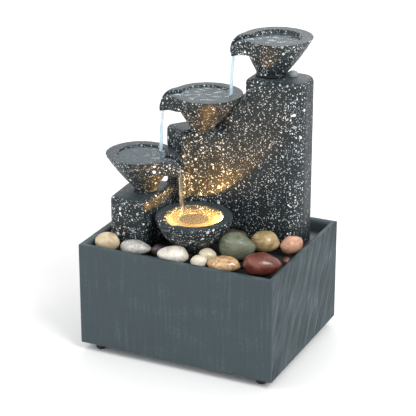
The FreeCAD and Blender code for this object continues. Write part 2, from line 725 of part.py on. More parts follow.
    intake_front = volute_front - 0.2 - intake_length
    cage = block(intake_front, volute_front - 0.2, y0 + 0.5, y1 - 0.5, z0 + 0.5, z1 - 0.5)
    cage = cage.makeFillet(3.5, [e for e in cage.Edges if e.BoundBox.XLength > intake_length - 0.01])
    cage = cage.cut(block(intake_front + intake_wall, volute_front, y0 + 0.5 + intake_wall, y1 - 0.5 - intake_wall,
                          z0 + 0.5 + intake_wall, z1 - 0.5 - intake_wall))
    slits = []
    for k in range(5):
        slit_x = intake_front + 3.0 + 2.1 * k
        slits.append(block(slit_x, slit_x + 1.1, y0 - 1, y1 + 1, z - 9, z + 9))
    for k in (-2, -1, 1, 2):
        slit_y = y + k * 5.4
        slits.append(block(intake_front - 1, intake_front + intake_wall + 1, slit_y - 0.8, slit_y + 0.8,
                           z + 9.5, z + 13.0))
        slits.append(block(intake_front - 1, intake_front + intake_wall + 1, slit_y - 0.8, slit_y + 0.8,
                           z - 13.0, z - 9.5))
    window = [block(intake_front - 1, intake_front + intake_wall + 1, y + 2.6, y + 6, z - 1.5, z + 1.5)
              .rotate(V(*on_axis(0)), V(1, 0, 0), 90 * k) for k in range(4)]
    cage = cage.cut(Part.makeCompound(slits + window))
    cage = cage.cut(rod(1.6, on_axis(intake_front - 1), on_axis(intake_front + intake_wall + 1)))
    save("pump_intake_cover", cage)
    foam_gap = 0.3
    foam = block(intake_front + intake_wall + 2.5, volute_front - 1.0, y0 + 0.5 + intake_wall + foam_gap,
                 y1 - 0.5 - intake_wall - foam_gap, z0 + 0.5 + intake_wall + foam_gap, z1 - 0.5 - intake_wall - foam_gap)
    save("intake_foam", foam.cut(rod(4, on_axis(volute_front - 5), on_axis(volute_front))))
    dial_front = intake_front - 0.15 - dial_thickness
    dial = fuse([rod(dial_radius, on_axis(dial_front), on_axis(intake_front - 0.15)),
                 rod(1.6 - running_gap, on_axis(intake_front - 0.15), on_axis(intake_front + intake_wall + 0.3)),
                 block(dial_front - 2, dial_front, y - 0.9, y + 0.9, z - dial_radius + 1, z + dial_radius - 1)])
    windows = [block(dial_front - 3, intake_front, y + 2.6, y + 6, z - 1.5, z + 1.5)
               .rotate(V(*on_axis(0)), V(1, 0, 0), 90 * k) for k in (0, 2)]
    save("flow_dial", dial.cut(Part.makeCompound(windows)))


# ---------------------------------------------------------------- pebbles

# name, place of the middle, half sizes along its own axes, heading, egg shape (0 round to 0.4 pointed)
pebbles = [
    ("pebble_beige", (-71.2, -53.8), (10.8, 8.6, 8.2), 15, 0.06),
    ("pebble_grey_white", (-46.1, -50.5), (13.7, 8.4, 6.2), 20, 0.12),
    ("pebble_purple_small", (-26.4, -45.2), (6.6, 5.6, 5.2), 30, 0.05),
    ("pebble_white", (-9.3, -53.5), (13.4, 8.8, 7.4), 18, -0.14),
    ("pebble_cream_small", (16.3, -39.6), (7.8, 6.2, 6.2), 30, 0.05),
    ("pebble_cream", (14.8, -52.9), (7.2, 6.2, 5.6), 20, 0.05),
    ("pebble_orange", (37.0, -51.1), (14.3, 8.2, 6.6), 22, 0.12),
    ("pebble_green_grey", (37.1, -24.9), (15.7, 11.0, 12.4), 25, 0.1),
    ("pebble_dark_flat", (18.1, 10.1), (12.8, 6.6, 5.6), 4, 0.08),
    ("pebble_yellow", (51.8, 1.2), (12.5, 9.4, 9.2), 20, 0.1),
    ("pebble_red_brown", (67.7, -43.1), (16.5, 11.0, 9.4), 28, 0.1),
    ("pebble_pink", (73.5, 7.3), (10.5, 7.5, 8.0), 50, 0.2),
    ("pebble_red_small", (79.0, -17.0), (3.5, 3.6, 3.4), 20, 0.05),
]


def make_pebble(at, half, yaw, egg):
    """Smooth river pebble resting on the tray: an egg of revolution, flattened to its half sizes."""
    length, width, height = half
    edges = []
    for reach, start, end in ((length * (1 + egg), 0, 90), (length * (1 - egg), 90, 180)):
        quarter = Part.makeCircle(1, V(0, 0, 0), V(0, 0, 1), start, end)
        stretch = FreeCAD.Matrix()
        stretch.scale(reach, width, 1)
        edges.append(quarter.transformGeometry(stretch).Edges[0])
    edges.append(Part.LineSegment(V(-length * (1 - egg), 0, 0), V(length * (1 + egg), 0, 0)).toShape())
    solid = Part.Face(Part.Wire(edges)).revolve(V(0, 0, 0), V(1, 0, 0), 360)
    flatten = FreeCAD.Matrix()
    flatten.scale(1, 1, height / width)
    solid = solid.transformGeometry(flatten)
    solid.translate(V(-egg * length, 0, 0))
    solid.rotate(V(0, 0, 0), V(0, 0, 1), yaw)
    solid.translate(V(at[0], at[1], tray_top + height))
    return solid


# ---------------------------------------------------------------- build


def build():
    save("basin_shell", make_basin())
    for k, (x, y) in enumerate(foot_places()):
        save(f"foot_{k + 1}", make_foot(x, y))
    save("cable_grommet", make_grommet())
    save("stone_tray", make_tray())
    save("tower_column", make_tower())
    save("middle_column", make_middle_column())
    save("left_column", make_left_column())
    save("rear_cover", make_rear_cover())
    top_bowl = placed(pouring_bowl(top_bowl_radius, top_foot_radius), top_bowl_at, top_rim, top_spout_angle)
    save("top_bowl", top_bowl.cut(rod(fitting_shank_radius, (riser_x, riser_y, bowl_bottom - 1),
                                      (riser_x, riser_y, top_rim))).cut(
        rod(fitting_flange_radius, (riser_x, riser_y, flange_bottom), (riser_x, riser_y, top_rim))))
    save("middle_bowl", placed(pouring_bowl(middle_bowl_radius, middle_foot_radius), middle_bowl_at,
                               middle_rim, middle_spout_angle))
    save("left_bowl", placed(pouring_bowl(left_bowl_radius, left_foot_radius), left_bowl_at,
                             left_rim, left_spout_angle))
    save("light_bowl", make_light_bowl())
    save("inlet_fitting", make_inlet_fitting())
    save("tower_vent_plug", make_vent_plug())
    save("riser_tube", make_riser_tube())
    make_lamp()
    make_pump()
    for name, at, half, yaw, egg in pebbles:
        save(name, make_pebble(at, half, yaw, egg))


build()
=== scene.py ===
"""Looks for the tabletop water fountain: slate basin, speckled castings, river pebbles, running water
and the warm lamp in the lit bowl. Everything is in metres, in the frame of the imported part.
MM turns the sizes that are written in millimetres into metres.
"""

import json
import math

import bmesh
import bpy
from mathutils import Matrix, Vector, noise


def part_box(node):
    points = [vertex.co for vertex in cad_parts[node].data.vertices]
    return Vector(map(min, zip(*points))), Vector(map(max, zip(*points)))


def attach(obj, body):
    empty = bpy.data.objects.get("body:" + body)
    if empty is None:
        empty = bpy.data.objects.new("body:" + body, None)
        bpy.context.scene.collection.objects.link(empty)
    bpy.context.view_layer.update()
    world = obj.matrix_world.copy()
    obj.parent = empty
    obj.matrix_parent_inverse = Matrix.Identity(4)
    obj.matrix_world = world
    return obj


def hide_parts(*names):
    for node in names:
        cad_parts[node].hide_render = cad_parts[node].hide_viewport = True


MM = 0.001
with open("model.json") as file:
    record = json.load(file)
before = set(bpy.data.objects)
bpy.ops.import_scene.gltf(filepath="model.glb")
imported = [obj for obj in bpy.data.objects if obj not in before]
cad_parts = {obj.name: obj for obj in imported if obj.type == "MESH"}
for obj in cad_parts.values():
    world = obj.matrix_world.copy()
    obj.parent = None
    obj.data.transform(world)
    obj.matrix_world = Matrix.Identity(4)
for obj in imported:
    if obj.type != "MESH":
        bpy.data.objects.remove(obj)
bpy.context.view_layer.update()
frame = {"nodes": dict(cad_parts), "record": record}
nodes = frame["nodes"]
record = frame["record"]
openings = {o["name"]: o["box_m"] for o in record["physics"]["openings"]}

# ---------------------------------------------------------------- sizes that the CAD source also has

rim_width = 8.7 * MM
dish_depth = 12.5 * MM
dish_shift = 1.5 * MM
channel_depth = 4.2 * MM
spout_overhang = 9.3 * MM
spout_bend = 12.0 * MM
light_dish_radius = 25.0 * MM
light_dish_depth = 17.0 * MM
basin_wall = 6.0 * MM
basin_floor = 7.0 * MM
ledge_width = 4.0 * MM
ledge_below_rim = 13.0 * MM
rim_bevel = 1.6 * MM

# ---------------------------------------------------------------- sizes of what only this model has

casting_relief = 0.22 * MM
relief_step = 1.25 * MM
top_pool_below_rim = 3.0 * MM
pool_below_rim = 1.6 * MM
lit_pool_below_rim = 3.4 * MM
stream_dips_in = 1.0 * MM
pool_ripple = 0.30 * MM
lit_pool_ripple = 0.8 * MM
water_skin = 0.9 * MM
spill_thickness = 1.7 * MM
lens_ring_share = 1.25
glow_offset = (18.0 * MM, 9.5 * MM, 9.9 * MM)
stream_sides = 20
spill_points = 20
fall_steps = 44


# ---------------------------------------------------------------- shader helpers


def new_material(name):
    material = bpy.data.materials.new(name)
    material.use_nodes = True
    tree = material.node_tree
    return material, tree, tree.nodes["Principled BSDF"]


def add(tree, kind, **values):
    """New node; values are its properties, or its input sockets when the key starts with in_."""
    node = tree.nodes.new(kind)
    for key, value in values.items():
        if key.startswith("in_"):
            node.inputs[key[3:].replace("_", " ")].default_value = value
        else:
            setattr(node, key, value)
    return node


def math_node(tree, operation, a, b=0.0, clamp=False):
    node = add(tree, "ShaderNodeMath", operation=operation, use_clamp=clamp)
    for socket, value in zip(node.inputs, (a, b)):
        if isinstance(value, (int, float)):
            socket.default_value = value
        else:
            tree.links.new(value, socket)
    return node.outputs[0]


def ramp(tree, factor, stops):
    """Colour ramp over (position, (r, g, b)) stops."""
    node = tree.nodes.new("ShaderNodeValToRGB")
    elements = node.color_ramp.elements
    while len(elements) < len(stops):
        elements.new(0.5)
    for element, (position, colour) in zip(elements, stops):
        element.position = position
        element.color = (*colour, 1.0)
    tree.links.new(factor, node.inputs[0])
    return node.outputs["Color"]


def mix_colour(tree, factor, a, b, blend="MIX"):
    node = add(tree, "ShaderNodeMix", data_type="RGBA", blend_type=blend)
    for socket, value in ((node.inputs[0], factor), (node.inputs[6], a), (node.inputs[7], b)):
        if isinstance(value, tuple):
            socket.default_value = (*value, 1.0)
        elif isinstance(value, (int, float)):
            socket.default_value = value
        else:
            tree.links.new(value, socket)
    return node.outputs[2]


def stretched(tree, scale=(1, 1, 1), turn=(0, 0, 0)):
    """Object coordinates in metres, turned and stretched."""
    where = tree.nodes.new("ShaderNodeTexCoord")
    mapping = tree.nodes.new("ShaderNodeMapping")
    mapping.inputs["Scale"].default_value = scale
    mapping.inputs["Rotation"].default_value = turn
    tree.links.new(where.outputs["Object"], mapping.inputs["Vector"])
    return mapping.outputs["Vector"]


def fractal(tree, vector, scale, detail=4.0, roughness=0.55, distortion=0.0):
    node = add(tree, "ShaderNodeTexNoise", in_Scale=scale, in_Detail=detail, in_Roughness=roughness,
               in_Distortion=distortion)
    tree.links.new(vector, node.inputs["Vector"])
    return node.outputs["Fac"]


def bump(tree, shader, height, distance, strength=1.0):
    node = add(tree, "ShaderNodeBump", in_Strength=strength, in_Distance=distance)
    tree.links.new(height, node.inputs["Height"])
    tree.links.new(node.outputs["Normal"], shader.inputs["Normal"])


def facing_up(tree, low=0.75, high=0.97):
    """1 on surfaces that face up, 0 on upright ones."""
    geometry = tree.nodes.new("ShaderNodeNewGeometry")
    split = tree.nodes.new("ShaderNodeSeparateXYZ")
    tree.links.new(geometry.outputs["Normal"], split.inputs[0])
    spread = add(tree, "ShaderNodeMapRange", in_From_Min=low, in_From_Max=high, clamp=True)
    tree.links.new(split.outputs["Z"], spread.inputs["Value"])
    return spread.outputs["Result"]


# ---------------------------------------------------------------- materials


def chips(tree, vector, cells, smallest, largest, presence, soft=0.05):
    """Mask of scattered stone chips: round cells of random size, of which only some are there."""
    cell = add(tree, "ShaderNodeTexVoronoi", in_Scale=cells, in_Randomness=1.0)
    tree.links.new(vector, cell.inputs["Vector"])
    random = tree.nodes.new("ShaderNodeSeparateColor")
    tree.links.new(cell.outputs["Color"], random.inputs[0])
    share = math_node(tree, "POWER", random.outputs["Green"], 2.2)
    size = math_node(tree, "MULTIPLY", share, largest - smallest)
    radius = math_node(tree, "ADD", size, smallest)
    there = math_node(tree, "LESS_THAN", random.outputs["Red"], presence)
    inside = math_node(tree, "DIVIDE", math_node(tree, "SUBTRACT", radius, cell.outputs["Distance"]), soft,
                       clamp=True)
    return math_node(tree, "MULTIPLY", inside, there), random.outputs["Blue"]


def terrazzo(name="terrazzo", dark=(0.006, 0.0115, 0.014), light=(0.016, 0.027, 0.032)):
    """Dark blue-grey casting full of white and grey chips; smoother where it faces up, with painted light
    making it paler there.
    """
    material, tree, shader = new_material(name)
    plain = stretched(tree)
    warped = tree.nodes.new("ShaderNodeVectorMath")
    warped.operation = "ADD"
    wobble = add(tree, "ShaderNodeTexNoise", in_Scale=900.0, in_Detail=2.0)
    tree.links.new(plain, wobble.inputs["Vector"])
    shrink = tree.nodes.new("ShaderNodeVectorMath")
    shrink.operation = "SCALE"
    shrink.inputs["Scale"].default_value = 0.00016
    tree.links.new(wobble.outputs["Color"], shrink.inputs[0])
    tree.links.new(plain, warped.inputs[0])
    tree.links.new(shrink.outputs[0], warped.inputs[1])
    where = warped.outputs[0]
    big, big_shade = chips(tree, where, 262.0, 0.11, 0.41, 0.50)
    medium, medium_shade = chips(tree, where, 490.0, 0.145, 0.42, 0.57)
    fine, fine_shade = chips(tree, where, 930.0, 0.20, 0.48, 0.48)
    up = facing_up(tree)
    thin_out = math_node(tree, "SUBTRACT", 1.0, math_node(tree, "MULTIPLY", up, 0.82))
    big = math_node(tree, "MULTIPLY", big, thin_out)
    medium = math_node(tree, "MULTIPLY", medium, thin_out)
    fine = math_node(tree, "MULTIPLY", fine, thin_out)
    cloud = fractal(tree, plain, 90.0, 5.0)
    base = ramp(tree, cloud, [(0.32, dark), (0.7, light)])
    # painted light: surfaces that face up are mixed toward a paler grey to stand for the light falling on the
    # tops
    base = mix_colour(tree, math_node(tree, "MULTIPLY", up, 0.75), base, (0.034, 0.053, 0.064))
    chip_colours = [(0.0, (0.20, 0.23, 0.24)), (0.3, (0.52, 0.56, 0.57)), (0.6, (0.88, 0.90, 0.90)),
                    (1.0, (1.0, 1.0, 0.98))]
    colour = mix_colour(tree, fine, base, ramp(tree, fine_shade, chip_colours))
    colour = mix_colour(tree, medium, colour, ramp(tree, medium_shade, chip_colours))
    colour = mix_colour(tree, big, colour, ramp(tree, big_shade, chip_colours))
    tree.links.new(colour, shader.inputs["Base Color"])
    grain = fractal(tree, plain, 1400.0, 3.0)
    rough = add(tree, "ShaderNodeMapRange", in_To_Min=0.34, in_To_Max=0.60)
    tree.links.new(grain, rough.inputs["Value"])
    tree.links.new(rough.outputs["Result"], shader.inputs["Roughness"])
    shader.inputs["Specular IOR Level"].default_value = 0.38
    raised = math_node(tree, "ADD", math_node(tree, "ADD", big, medium), grain)
    bump(tree, shader, raised, 0.00012)
    return material


def slate():
    """Blue-grey cleft slate look; the relief stored on the mesh paints shade into the clefts and a painted
    highlight onto the ridges.
    """
    material, tree, shader = new_material("slate_cast")
    relief = add(tree, "ShaderNodeAttribute", attribute_name="relief")
    plain = stretched(tree)
    mottled = fractal(tree, plain, 55.0, 7.0, 0.62)
    streaks = fractal(tree, stretched(tree, (900, 900, 60)), 1.0, 4.0, 0.6)
    base = ramp(tree, mottled, [(0.25, (0.034, 0.056, 0.066)), (0.55, (0.042, 0.066, 0.077)),
                                (0.85, (0.051, 0.078, 0.089))])
    base = mix_colour(tree, math_node(tree, "MULTIPLY", streaks, 0.22), base, (0.080, 0.115, 0.128))
    # painted shade: the clefts are mixed toward near black
    base = mix_colour(tree, relief.outputs["Fac"], (0.018, 0.028, 0.033), base)
    # painted highlight: the ridges are mixed toward a pale grey
    painted_ridge_highlight = add(tree, "ShaderNodeMapRange", in_From_Min=0.72, in_From_Max=1.0, in_To_Max=0.45, clamp=True)
    tree.links.new(relief.outputs["Fac"], painted_ridge_highlight.inputs["Value"])
    base = mix_colour(tree, painted_ridge_highlight.outputs["Result"], base, (0.15, 0.19, 0.20))
    tree.links.new(base, shader.inputs["Base Color"])
    grain = fractal(tree, plain, 1100.0, 5.0, 0.65)
    fine = math_node(tree, "ADD", math_node(tree, "MULTIPLY", streaks, 1.2), grain)
    bump(tree, shader, fine, 0.00018)
    rough = add(tree, "ShaderNodeMapRange", in_To_Min=0.5, in_To_Max=0.78)
    tree.links.new(mottled, rough.inputs["Value"])
    tree.links.new(rough.outputs["Result"], shader.inputs["Roughness"])
    return material


def pebble_material(name, look):
    """River pebble: clouded colour along a grain direction, fine speckles and sometimes pale veins."""
    dark, mid, light = look["colours"]
    vein, roughness = look["vein"], look["roughness"]
    material, tree, shader = new_material(name)
    along = stretched(tree, (1.0, 1.0, look["stretch"]), (0.4, 0.3, look["turn"]))
    cloud = fractal(tree, along, 130.0, 6.0, 0.62, 0.6)
    colour = ramp(tree, cloud, [(0.30, dark), (0.52, mid), (0.74, light)])
    if vein:
        line = fractal(tree, along, 75.0, 3.0, 0.5, 1.4)
        off = math_node(tree, "ABSOLUTE", math_node(tree, "SUBTRACT", line, 0.5))
        near = math_node(tree, "SUBTRACT", 1.0, math_node(tree, "MULTIPLY", off, 26.0), clamp=True)
        colour = mix_colour(tree, math_node(tree, "MULTIPLY", near, 0.7), colour, vein)
    dots = fractal(tree, along, 1700.0, 2.0, 0.5)
    dark_dots = add(tree, "ShaderNodeMapRange", in_From_Min=0.56, in_From_Max=0.68, in_To_Max=look["speckle"],
                    clamp=True)
    tree.links.new(dots, dark_dots.inputs["Value"])
    colour = mix_colour(tree, dark_dots.outputs["Result"], colour, tuple(0.45 * c for c in dark))
    tree.links.new(colour, shader.inputs["Base Color"])
    rough = add(tree, "ShaderNodeMapRange", in_To_Min=roughness * 0.75, in_To_Max=roughness * 1.35)
    tree.links.new(cloud, rough.inputs["Value"])
    tree.links.new(rough.outputs["Result"], shader.inputs["Roughness"])
    bump(tree, shader, math_node(tree, "ADD", cloud, math_node(tree, "MULTIPLY", dots, 0.25)), 0.0003)
    shader.inputs["Coat Weight"].default_value = look["wet"]
    shader.inputs["Coat Roughness"].default_value = 0.08
    shader.inputs["Subsurface Weight"].default_value = 0.04
    shader.inputs["Subsurface Radius"].default_value = (0.002, 0.0014, 0.001)
    return material


def moulded(name, colour, roughness=0.45, grain=0.00005, metallic=0.0, cells=1600.0):
    """Moulded plastic, rubber or plain metal with a fine grain and slightly uneven colour."""
    material, tree, shader = new_material(name)
    plain = stretched(tree)
    cloud = fractal(tree, plain, 160.0, 3.0)
    colours = [(0.3, tuple(0.82 * c for c in colour)), (0.7, tuple(min(1.0, 1.12 * c) for c in colour))]
    tree.links.new(ramp(tree, cloud, colours), shader.inputs["Base Color"])
    fine = fractal(tree, plain, cells, 3.0)
    bump(tree, shader, fine, grain)
    rough = add(tree, "ShaderNodeMapRange", in_To_Min=roughness * 0.8, in_To_Max=roughness * 1.25)
    tree.links.new(fine, rough.inputs["Value"])
    tree.links.new(rough.outputs["Result"], shader.inputs["Roughness"])
    shader.inputs["Metallic"].default_value = metallic
    return material


def foam():
    """Open-cell sponge: painted shade makes the pores dark between paler struts."""
    material, tree, shader = new_material("sponge")
    cell = add(tree, "ShaderNodeTexVoronoi", in_Scale=900.0)
    tree.links.new(stretched(tree), cell.inputs["Vector"])
    # painted shade: the pore hollows are dark, the struts paler
    greys = [(0.1, (0.006, 0.006, 0.007)), (0.6, (0.07, 0.07, 0.075))]
    tree.links.new(ramp(tree, cell.outputs["Distance"], greys), shader.inputs["Base Color"])
    bump(tree, shader, cell.outputs["Distance"], 0.0006)
    shader.inputs["Roughness"].default_value = 0.95
    return material


def winding():
    """Enamelled copper turns."""
    material, tree, shader = new_material("copper_winding")
    turns = add(tree, "ShaderNodeTexWave", wave_type="BANDS", bands_direction="Z", in_Scale=900.0,
                in_Distortion=0.3)
    tree.links.new(stretched(tree), turns.inputs["Vector"])
    tree.links.new(ramp(tree, turns.outputs["Fac"], [(0.0, (0.16, 0.05, 0.02)), (1.0, (0.75, 0.33, 0.14))]),
                   shader.inputs["Base Color"])
    bump(tree, shader, turns.outputs["Fac"], 0.0003)
    shader.inputs["Metallic"].default_value = 0.8
    shader.inputs["Roughness"].default_value = 0.35
    return material


def laminations():
    """Stacked steel sheets of the stator core."""
    material, tree, shader = new_material("laminated_steel")
    sheets = add(tree, "ShaderNodeTexWave", wave_type="BANDS", bands_direction="Y", in_Scale=600.0,
                 in_Distortion=0.1)
    tree.links.new(stretched(tree), sheets.inputs["Vector"])
    tree.links.new(ramp(tree, sheets.outputs["Fac"], [(0.0, (0.18, 0.18, 0.19)), (1.0, (0.5, 0.51, 0.53))]),
                   shader.inputs["Base Color"])
    bump(tree, shader, sheets.outputs["Fac"], 0.0002)
    shader.inputs["Metallic"].default_value = 0.9
    shader.inputs["Roughness"].default_value = 0.4
    return material


def clear_plastic(name, colour, transmission, roughness):
    """Translucent vinyl or a clear lens, faintly clouded."""
    material, tree, shader = new_material(name)
    cloud = fractal(tree, stretched(tree), 200.0, 3.0)
    colours = [(0.3, tuple(0.9 * c for c in colour)), (0.7, colour)]
    tree.links.new(ramp(tree, cloud, colours), shader.inputs["Base Color"])
    rough = add(tree, "ShaderNodeMapRange", in_To_Min=roughness * 0.7, in_To_Max=roughness * 1.3)
    tree.links.new(cloud, rough.inputs["Value"])
    tree.links.new(rough.outputs["Result"], shader.inputs["Roughness"])
    shader.inputs["Transmission Weight"].default_value = transmission
    shader.inputs["IOR"].default_value = 1.45
    return material


def water(name, colour, transmission, roughness=0.04, ripple=0.0003, cells=260.0, painted_glow=0.0):
    """Water with small moving wrinkles in its surface, and a painted glow when one is given."""
    material, tree, shader = new_material(name)
    plain = stretched(tree)
    wrinkles = fractal(tree, plain, cells, 2.0, 0.5, 0.8)
    shades = [(0.3, tuple(0.82 * c for c in colour)), (0.7, colour)]
    tree.links.new(ramp(tree, wrinkles, shades), shader.inputs["Base Color"])
    bump(tree, shader, wrinkles, ripple)
    shader.inputs["Roughness"].default_value = roughness
    shader.inputs["Transmission Weight"].default_value = transmission
    shader.inputs["IOR"].default_value = 1.333
    # painted glow: the water is made to emit light, though water gives none
    if painted_glow:
        shader.inputs["Emission Color"].default_value = (0.85, 0.93, 1.0, 1.0)
        shader.inputs["Emission Strength"].default_value = painted_glow
    return material


def glowing(name, colour, glow, strength):
    """Warm diode under a phosphor dome."""
    material, tree, shader = new_material(name)
    cloud = fractal(tree, stretched(tree), 900.0, 2.0)
    tree.links.new(ramp(tree, cloud, [(0.2, tuple(0.85 * c for c in colour)), (0.8, colour)]),
                   shader.inputs["Base Color"])
    shader.inputs["Emission Color"].default_value = (*glow, 1.0)
    shader.inputs["Emission Strength"].default_value = strength
    shader.inputs["Roughness"].default_value = 0.3
    return material


# ---------------------------------------------------------------- mesh helpers


def link(name, mesh, body, slot, *replaced):
    """Puts a finished mesh in the scene as a piece of the object."""
    piece = bpy.data.objects.new(name, mesh)
    bpy.context.scene.collection.objects.link(piece)
    for polygon in mesh.polygons:
        polygon.use_smooth = True
    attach(piece, body)
    if replaced:
        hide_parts(*replaced)
    return piece


def recast(parts, voxel, passes):
    """Mesh of one or more CAD nodes made again of even small faces, with softened edges, as a casting has."""
    work = bmesh.new()
    for node in parts:
        work.from_mesh(nodes[node].data)
    bmesh.ops.remove_doubles(work, verts=work.verts, dist=0.00002)
    mesh = bpy.data.meshes.new("recast")
    work.to_mesh(mesh)
    work.free()
    temporary = bpy.data.objects.new("temporary", mesh)
    bpy.context.scene.collection.objects.link(temporary)
    remesh = temporary.modifiers.new("even", "REMESH")
    remesh.mode = "VOXEL"
    remesh.voxel_size = voxel
    soften = temporary.modifiers.new("soften", "SMOOTH")
    soften.factor = 0.5
    soften.iterations = passes
    evaluated = temporary.evaluated_get(bpy.context.evaluated_depsgraph_get())
    result = bpy.data.meshes.new_from_object(evaluated)
    bpy.data.objects.remove(temporary)
    result.materials.clear()
    return result


def roughen(mesh, depth, size, seed):
    """Moves the surface in along its normals by an uneven amount, so that it isn't machine flat."""
    shift = Vector((seed * 3.1, seed * 1.7, seed * 0.9))
    moves = []
    for vertex in mesh.vertices:
        value = noise.fractal(vertex.co / size + shift, 1.0, 2.0, 3)
        fine = noise.noise(vertex.co / (0.3 * size) - shift)
        moves.append(vertex.normal * (-depth * (0.5 + 0.4 * value + 0.25 * fine)))
    for vertex, move in zip(mesh.vertices, moves):
        vertex.co += move
    mesh.update()


# ---------------------------------------------------------------- basin


def slate_height(u, z, side):
    """Relief of a basin wall from 0 in a cleft to 1 on a ridge; u runs along the wall, z is the height."""
    if side in ("right", "left"):
        lean = 0.52
        across = u - lean * z
        along = z + lean * u
        warp = noise.noise(Vector((u / 0.022, z / 0.030, 4.0)))
        wave = noise.noise(Vector(((across + 0.004 * warp) / 0.0085, along / 0.050, 1.0)))
        small = noise.noise(Vector(((across - 0.002 * warp) / 0.0034, along / 0.020, 7.0)))
        chip = noise.noise(Vector((u / 0.0022, z / 0.0030, 2.0)))
        ridge = 1.0 - abs(wave) * 1.7
        return min(1.0, max(0.0, 0.60 * ridge + 0.20 + 0.28 * small + 0.10 * chip))
    streak = noise.noise(Vector((u / 0.0022, z / 0.045, 3.0)))
    cleft = noise.noise(Vector(((u + 0.35 * z) / 0.030, (z - 0.15 * u) / 0.012, 9.0)))
    chip = noise.noise(Vector((u / 0.0016, z / 0.0022, 5.0)))
    return min(1.0, max(0.0, 0.70 + 0.07 * cleft + 0.12 * streak + 0.10 * chip))


def wall_depth(side):
    return 1.8 * MM if side in ("right", "left") else 0.55 * MM


def perimeter(half_x, half_y, radius, count_x, count_y, corner):
    """Points round a rounded rectangle, anticlockwise from the front left, with each point's side."""
    points = []
    sides = [("front", (-half_x + radius, -half_y), (half_x - radius, -half_y), count_x, -90),
             ("right", (half_x, -half_y + radius), (half_x, half_y - radius), count_y, 0),
             ("back", (half_x - radius, half_y), (-half_x + radius, half_y), count_x, 90),
             ("left", (-half_x, half_y - radius), (-half_x, -half_y + radius), count_y, 180)]
    centres = [(half_x - radius, -half_y + radius), (half_x - radius, half_y - radius),
               (-half_x + radius, half_y - radius), (-half_x + radius, -half_y + radius)]
    for (side, start, end, count, angle), centre in zip(sides, centres):
        for i in range(count + 1):
            t = i / count
            points.append((start[0] + t * (end[0] - start[0]), start[1] + t * (end[1] - start[1]), side))
        for i in range(1, corner):
            turn = math.radians(angle + 90 * i / corner)
            x = centre[0] + radius * math.cos(turn)
            y = centre[1] + radius * math.sin(turn)
            points.append((x, y, "corner"))
    return points


def basin_rings(bottom, rim):
    """Inset, height and whether it is carved, for each ring up the wall, over the rim and down inside."""
    levels = round((rim - bottom) / relief_step)
    ledge = rim - ledge_below_rim
    inside = bottom + basin_floor
    rings = [(0.0, bottom + (rim - bottom) * i / levels, True) for i in range(levels + 1)]
    rings[0] = (0.7 * MM, bottom, False)
    rings.insert(1, (0.0, bottom + 0.7 * MM, True))
    rings[-1] = (0.0, rim - 0.5 * MM, True)
    rings += [(0.5 * MM, rim, False), (2.5 * MM, rim, False), (basin_wall - rim_bevel, rim, False),
              (basin_wall, rim - rim_bevel, False)]
    upper_wall = ledge_below_rim - rim_bevel
    rings += [(basin_wall, rim - rim_bevel - upper_wall * i / 6, False) for i in range(1, 7)]
    rings += [(basin_wall + ledge_width, ledge, False)]
    rings += [(basin_wall + ledge_width, ledge - (ledge - inside) * i / 20, False) for i in range(1, 21)]
    return rings


def slate_basin():
    """Basin with real relief on its outer walls, built as rings from the floor's middle to the inside."""
    low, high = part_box("basin_shell")
    half_x, half_y = high.x, high.y
    bottom, rim = low.z, high.z
    count_x = round(2 * half_x / relief_step)
    count_y = round(2 * half_y / relief_step)
    rings = basin_rings(bottom, rim)
    work = bmesh.new()
    layer = work.verts.layers.float.new("relief")
    made = []
    for inset, z, outer in rings:
        ring = []
        radius = max(0.3 * MM, 1.2 * MM - inset)
        for x, y, side in perimeter(half_x - inset, half_y - inset, radius, count_x, count_y, 3):
            u = x if side in ("front", "back") else y
            edge = min(1.0, (half_x - abs(x)) / (4 * MM)) if side in ("front", "back") else 1.0
            edge = min(1.0, (half_y - abs(y)) / (4 * MM)) if side in ("right", "left") else edge
            height = 0.8 if side == "corner" else slate_height(u, z, side)
            depth = wall_depth(side) * (1.0 - height) * (0.25 + 0.75 * max(0.0, edge)) if outer else 0.0
            if side == "corner":
                depth = 0.0
            dx = {"right": -depth, "left": depth}.get(side, 0.0)
            dy = {"front": depth, "back": -depth}.get(side, 0.0)
            dz = 0.0
            if z > rim - 0.1 * MM:
                dz = -0.35 * MM * (0.5 + 0.5 * noise.noise(Vector((x / 0.006, y / 0.006, 0.5))))
            vertex = work.verts.new((x + dx, y + dy, z + dz))
            if outer:
                vertex[layer] = height
            else:
                vertex[layer] = 0.78 + 0.2 * noise.noise(Vector((x / 0.012, y / 0.012, z / 0.012)))
            ring.append(vertex)
        made.append(ring)
    for lower, upper in zip(made, made[1:]):
        for i in range(len(lower)):
            j = (i + 1) % len(lower)
            work.faces.new((lower[i], lower[j], upper[j], upper[i]))
    work.faces.new(list(reversed(made[0])))
    work.faces.new(made[-1])
    bmesh.ops.triangulate(work, faces=[f for f in work.faces if len(f.verts) > 4])
    mesh = bpy.data.meshes.new("slate_basin")
    work.to_mesh(mesh)
    work.free()
    mesh.materials.append(slate())
    return link("slate_basin", mesh, "basin", "slate", "basin_shell")


# ---------------------------------------------------------------- pebbles


def stone(dark, middle, light, turn, stretch, wet, speckle, roughness, faceting, vein=None):
    """Look of one pebble: colours, grain direction and stretch, wetness, speckle, roughness and flats."""
    return {"colours": (dark, middle, light), "turn": turn, "stretch": stretch, "wet": wet,
            "speckle": speckle, "roughness": roughness, "faceting": faceting, "vein": vein}


